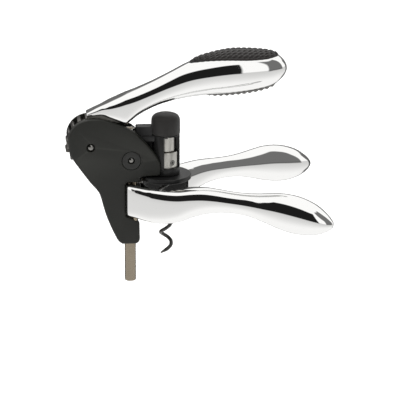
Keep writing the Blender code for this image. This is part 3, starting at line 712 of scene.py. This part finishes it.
# x, top z, bottom z, half width, roundness power
LEVER_STATIONS = [
    (-49.4, 44.0, 42.6, 5.0, 4.0),
    (-45.0, 46.2, 42.5, 5.8, 4.0),
    (-40.5, 48.3, 42.5, 6.0, 4.0),
    (-35.5, 50.7, 41.0, 8.2, 4.0),
    (-30.0, 53.2, 38.7, 9.0, 4.0),
    (-25.5, 55.3, 36.9, 9.0, 4.0),
    (-22.6, 56.5, 38.3, 9.0, 3.6),
    (-17.1, 58.8, 42.4, 9.0, 3.0),
    (-7.2, 63.3, 47.4, 9.0, 2.6),
    (2.8, 68.4, 50.5, 9.3, 2.4),
    (15.0, 74.6, 53.0, 11.0, 2.3),
    (28.0, 78.8, 54.2, 12.8, 2.2),
    (40.0, 81.0, 54.7, 13.6, 2.2),
    (52.0, 81.0, 55.9, 13.2, 2.2),
    (62.0, 80.1, 57.9, 11.8, 2.2),
    (67.5, 78.9, 60.0, 10.0, 2.2),
    (71.2, 77.2, 62.4, 8.0, 2.1),
    (73.8, 74.6, 65.2, 5.4, 2.0),
    (75.2, 72.0, 67.8, 2.6, 2.0),
    (75.5, 70.6, 69.2, 0.8, 2.0),
]


def lever_section(station, angle, proud=0.0):
    x, top, bottom, half, power = station
    y, z = superellipse(angle, half + proud, (top - bottom) / 2 + proud, power)
    return (x, y, (top + bottom) / 2 + z)


def lever_pieces():
    sides = 96
    stations = spline(LEVER_STATIONS, 8)
    verts = []
    for station in stations:
        verts += [lever_section(station, 2 * math.pi * k / sides) for k in range(sides)]
    handle = add_mesh("lever_handle", verts, ring_faces(len(stations), sides))
    finish(handle, "lever", ["lever"], MATERIALS["chrome"], 50)
    gear = slab("lever_gear", gear_outline(), -GEAR_HALF, GEAR_HALF)
    web = [(-36.9, 34.0), (-34.6, 37.4), (-26.2, 38.9), (-27.4, 44.5), (-38.0, 46.0),
           (-48.6, 43.3), (-50.3, 38.6), (-48.0, 35.5)]
    join(gear, slab("web", web, -5.6, 5.6))
    cut(gear, cylinder("bore", (AXIS[0], 0, AXIS[1]), 8.8, -8, 8, "Y"))
    soften(gear, 0.2)
    finish(gear, "lever", ["lever"], MATERIALS["gear"])
    bush = rounded_loop([(7.3, -5.6), (8.5, -5.6), (8.5, 5.6), (7.3, 5.6)], 0.25)
    finish(turned("hub_bush", bush, (AXIS[0], 0, AXIS[1]), "Y"), "lever",
           ["lever_bush"], MATERIALS["bronze"])
    grip("upper_grip", "grip_top", 90, 14.5, 70.5, 46, "grip", knurl)
    # the lower grip takes the grey rubber that is lightened as painted light against the shade
    # underneath
    grip("lower_grip", "grip_bottom", -90, 25.0, 69.5, 26, "grip_grey_painted_light", ribs)


def wave(value):
    """A rounded ridge that repeats once per unit, from 0 in the groove to 1 on top."""
    return (0.5 - 0.5 * math.cos(2 * math.pi * value)) ** 0.7


def knurl(x, across):
    """Slanted ridges in rows; across runs from -1 to 1 over the pad."""
    row = across * 3.5
    place = row - math.floor(row)
    gap = min(1.0, 4.5 * min(place, 1 - place))
    slant = 0.55 * (place - 0.5) * (1 if across >= 0 else -1)
    return wave(x / 3.4 + slant) * gap


def ribs(x, across):
    return wave(x / 3.6) * min(1.0, 5 * (1 - abs(across)) + 0.3)


def grip(name, node, middle, x_start, x_end, spread, look, pattern):
    """Leaf-shaped pad on the handle's bulb, with its pattern modelled in relief."""
    stations = [s for s in spline(LEVER_STATIONS, 60) if x_start <= s[0] <= x_end]
    across = 64
    rows = []
    for layer in (0, 1):
        for i, station in enumerate(stations):
            t = i / (len(stations) - 1)
            reach = max(0.05, math.sin(math.pi * t) ** 0.6) * spread
            for k in range(across + 1):
                place = 2 * k / across - 1
                angle = math.radians(middle + reach * place)
                rim = min(1.0, (1 - abs(place)) * reach / 4.0, 14 * t, 14 * (1 - t))
                height = 0.25 + (0.45 + 0.75 * pattern(station[0], place)) * rim ** 0.5
                rows.append(lever_section(station, angle, height if layer else 0.02))
    width = across + 1
    layer = width * len(stations)
    faces = []
    for i in range(len(stations) - 1):
        for k in range(across):
            a = i * width + k
            b = a + width
            faces.append((a, a + 1, b + 1, b))
            faces.append((layer + a, layer + b, layer + b + 1, layer + a + 1))
    border = list(range(width))
    border += [i * width + width - 1 for i in range(1, len(stations))]
    border += [(len(stations) - 1) * width + k for k in reversed(range(width - 1))]
    border += [i * width for i in reversed(range(1, len(stations) - 1))]
    for a, b in zip(border, border[1:] + border[:1]):
        faces.append((a, b, layer + b, layer + a))
    pad = add_mesh(name, rows, faces)
    finish(pad, "lever", [node], MATERIALS[look], 60)


# ---------------------------------------------------------------- bottle clamps

# distance from the pivot, inner v, outer v, top z, bottom z, roundness power
CLAMP_STATIONS = [
    (-3.9, 3.6, 5.0, -1.5, -20.2, 6.0),
    (-2.8, 1.0, 6.6, -1.0, -20.5, 6.0),
    (-1.6, -1.0, 8.0, -0.8, -20.7, 6.0),
    (3.0, -5.0, 9.3, -0.7, -21.4, 5.5),
    (8.0, -6.6, 10.4, -0.7, -22.2, 5.0),
    (13.0, -6.6, 11.4, -0.7, -22.8, 4.6),
    (16.0, -6.6, 11.8, -0.7, -23.1, 4.2),
    (24.0, -6.6, 11.9, -0.7, -22.8, 3.8),
    (32.0, -6.6, 11.1, -0.4, -21.0, 3.4),
    (40.0, -6.4, 9.8, 0.9, -17.6, 2.8),
    (48.0, -5.2, 9.0, 1.7, -14.9, 2.4),
    (56.0, -4.2, 8.6, 1.5, -13.2, 2.2),
    (64.0, -3.9, 8.5, 1.0, -12.5, 2.1),
    (72.0, -4.1, 8.8, 0.9, -12.7, 2.1),
    (80.0, -4.8, 9.7, 1.4, -14.0, 2.1),
    (88.0, -5.7, 11.0, 2.4, -16.3, 2.1),
    (96.0, -6.3, 12.0, 3.3, -18.8, 2.1),
    (104.0, -6.6, 12.5, 3.0, -20.6, 2.1),
    (112.0, -6.4, 12.4, 1.3, -21.1, 2.1),
    (120.0, -4.9, 11.6, -2.0, -20.1, 2.1),
    (126.5, -1.9, 9.0, -6.6, -17.8, 2.0),
    (130.0, 1.0, 6.2, -10.2, -15.2, 2.0),
    (131.0, 2.9, 4.2, -12.1, -13.3, 2.0),
]


def clamp(word, side):
    sides = 96
    verts = []
    stations = spline(CLAMP_STATIONS, 8)
    for u, inner, outer, top, bottom, power in stations:
        for k in range(sides):
            y, z = superellipse(2 * math.pi * k / sides, (outer - inner) / 2,
                                (top - bottom) / 2, power)
            v = (outer + inner) / 2 + y
            verts.append((PIVOT[0] + u, side * (PIVOT[1] + v), (top + bottom) / 2 + z))
    handle = add_mesh(word + "_handle", verts, ring_faces(len(stations), sides))
    cut(handle,
        cylinder("cavity", (0, 0, 0), CAVITY_RADIUS, -40, 20, segments=192),
        cylinder("bore", (PIVOT[0], side * PIVOT[1], 0), 1.8, -40, 20))
    steps = 64
    start = math.radians(side * 7)
    end = math.radians(side * 158)
    angles = [start + (end - start) * k / steps for k in range(steps + 1)]
    outer = CAVITY_RADIUS - GAP
    ring = [(outer * math.cos(a), outer * math.sin(a)) for a in angles]
    ring += [(NECK_RADIUS * math.cos(a), NECK_RADIUS * math.sin(a)) for a in reversed(angles)]
    verts = [(x, y, z) for z in (-20.6, -3.2) for x, y in ring]
    pad = add_mesh(word + "_jaw_liner", verts, ring_faces(2, len(ring)))
    soften(pad, 0.35)
    for piece in (handle, pad):
        pivoted(piece, side * OPEN_ANGLE, (PIVOT[0], side * PIVOT[1]))
    body = "clamp_" + word
    finish(handle, body, [body], MATERIALS["chrome"], 35)
    finish(pad, body, ["jaw_pad_" + word], MATERIALS["pad"])


# ---------------------------------------------------------------- stage

def stage():
    scene = bpy.context.scene
    scene.view_settings.view_transform = "Standard"
    camera_data = bpy.data.cameras.new("camera")
    camera_data.lens = 360
    camera_data.sensor_width = 36
    camera = bpy.data.objects.new("camera", camera_data)
    scene.collection.objects.link(camera)
    azimuth = math.radians(-5)
    elevation = math.radians(18)
    right = Vector((math.cos(azimuth), math.sin(azimuth), 0))
    back = Vector((math.sin(azimuth) * math.cos(elevation),
                   -math.cos(azimuth) * math.cos(elevation), math.sin(elevation)))
    up = back.cross(right)
    place = Vector((-186.31, -2374.79, 759.17)) * MM
    rotation = Matrix((right, up, back)).transposed().to_4x4()
    camera.matrix_world = Matrix.Translation(place) @ rotation
    scene.camera = camera

    floor_mesh = bpy.data.meshes.new("floor")
    size = 6.0
    height = -0.110
    floor_mesh.from_pydata([(-size, -size, height), (size, -size, height), (size, size, height),
                            (-size, size, height)], [], [(0, 1, 2, 3)])
    floor = bpy.data.objects.new("floor", floor_mesh)
    scene.collection.objects.link(floor)
    paper = bpy.data.materials.new("pale_paper")
    paper.use_nodes = True
    shader = paper.node_tree.nodes["Principled BSDF"]
    shader.inputs["Base Color"].default_value = (0.95, 0.95, 0.95, 1)
    shader.inputs["Roughness"].default_value = 0.9
    floor_mesh.materials.append(paper)
    floor.visible_glossy = False
    studio_world(scene)
    for name, spot, size, power, aim in (
            ("key", (-0.5, -0.9, 1.5), 1.4, 16, (0, 0, 0)),
            ("rim", (0.3, 0.9, 1.3), 1.2, 14, (0, 0, 0))):
        data = bpy.data.lights.new(name, "AREA")
        data.size = size
        data.energy = power
        lamp = bpy.data.objects.new(name, data)
        scene.collection.objects.link(lamp)
        lamp.location = spot
        lamp.rotation_euler = (Vector(spot) - Vector(aim)).to_track_quat("Z", "Y").to_euler()
        lamp.visible_glossy = False


def studio_world(scene):
    """Soft white room with a dark opening low in front, as a photographer's studio has."""
    world = bpy.data.worlds.new("studio")
    scene.world = world
    world.use_nodes = True
    tree = world.node_tree
    nodes = tree.nodes
    nodes.clear()

    def math_node(operation, *values):
        node = nodes.new("ShaderNodeMath")
        node.operation = operation
        for slot_in, value in zip(node.inputs, values):
            if isinstance(value, (int, float)):
                slot_in.default_value = value
            else:
                tree.links.new(value, slot_in)
        return node.outputs[0]

    def step(value, start, end):
        node = nodes.new("ShaderNodeMapRange")
        node.interpolation_type = "SMOOTHSTEP"
        node.inputs["From Min"].default_value = start
        node.inputs["From Max"].default_value = end
        tree.links.new(value, node.inputs["Value"])
        return node.outputs["Result"]

    coords = nodes.new("ShaderNodeTexCoord")
    split = nodes.new("ShaderNodeSeparateXYZ")
    tree.links.new(coords.outputs["Generated"], split.inputs["Vector"])
    x, y, z = split.outputs
    forward = math_node("MULTIPLY", y, -1.0)
    azimuth = math_node("MULTIPLY", math_node("ARCTAN2", x, forward), 180 / math.pi)
    elevation = math_node("MULTIPLY", math_node("ARCSINE", z), 180 / math.pi)

    def patch(azimuth_range, elevation_range, soft_azimuth, soft_elevation):
        a_low, a_high = azimuth_range
        e_low, e_high = elevation_range
        inside = math_node("MULTIPLY", step(azimuth, a_low - soft_azimuth, a_low),
                           math_node("SUBTRACT", 1.0,
                                     step(azimuth, a_high, a_high + soft_azimuth)))
        height = math_node("MULTIPLY", step(elevation, e_low - soft_elevation, e_low),
                           math_node("SUBTRACT", 1.0,
                                     step(elevation, e_high, e_high + soft_elevation)))
        return math_node("MULTIPLY", inside, height)

    table = step(elevation, 0.0, -55.0)
    level = math_node("ADD", math_node("MULTIPLY", table, 0.35), 0.68)
    above = step(elevation, -2.0, 2.0)
    level = math_node("ADD", math_node("MULTIPLY", level, math_node("SUBTRACT", 1.0, above)),
                      math_node("MULTIPLY", above, 1.08))
    for azimuths, elevations, soft, keep in (
            ((-66, 8), (-2, 46), (2, 4), 0.012),
            ((-200, -128), (-36, 14), (6, 6), 0.14),
            ((128, 200), (-36, 14), (6, 6), 0.14),
            ((36, 88), (-2, 56), (6, 6), 0.16)):
        dark = patch(azimuths, elevations, *soft)
        level = math_node("MULTIPLY", level,
                          math_node("SUBTRACT", 1.0, math_node("MULTIPLY", dark, 1 - keep)))
    room = nodes.new("ShaderNodeBackground")
    tree.links.new(level, room.inputs["Strength"])
    room.inputs["Color"].default_value = (1.0, 0.995, 0.985, 1)
    white = nodes.new("ShaderNodeBackground")
    white.inputs["Strength"].default_value = 1.0
    path = nodes.new("ShaderNodeLightPath")
    mix = nodes.new("ShaderNodeMixShader")
    tree.links.new(path.outputs["Is Camera Ray"], mix.inputs["Fac"])
    tree.links.new(room.outputs[0], mix.inputs[1])
    tree.links.new(white.outputs[0], mix.inputs[2])
    out = nodes.new("ShaderNodeOutputWorld")
    tree.links.new(mix.outputs[0], out.inputs["Surface"])


stage()
body_pieces()
worm_pieces()
carriage_pieces()
lever_pieces()
clamp("front", -1)
clamp("back", 1)
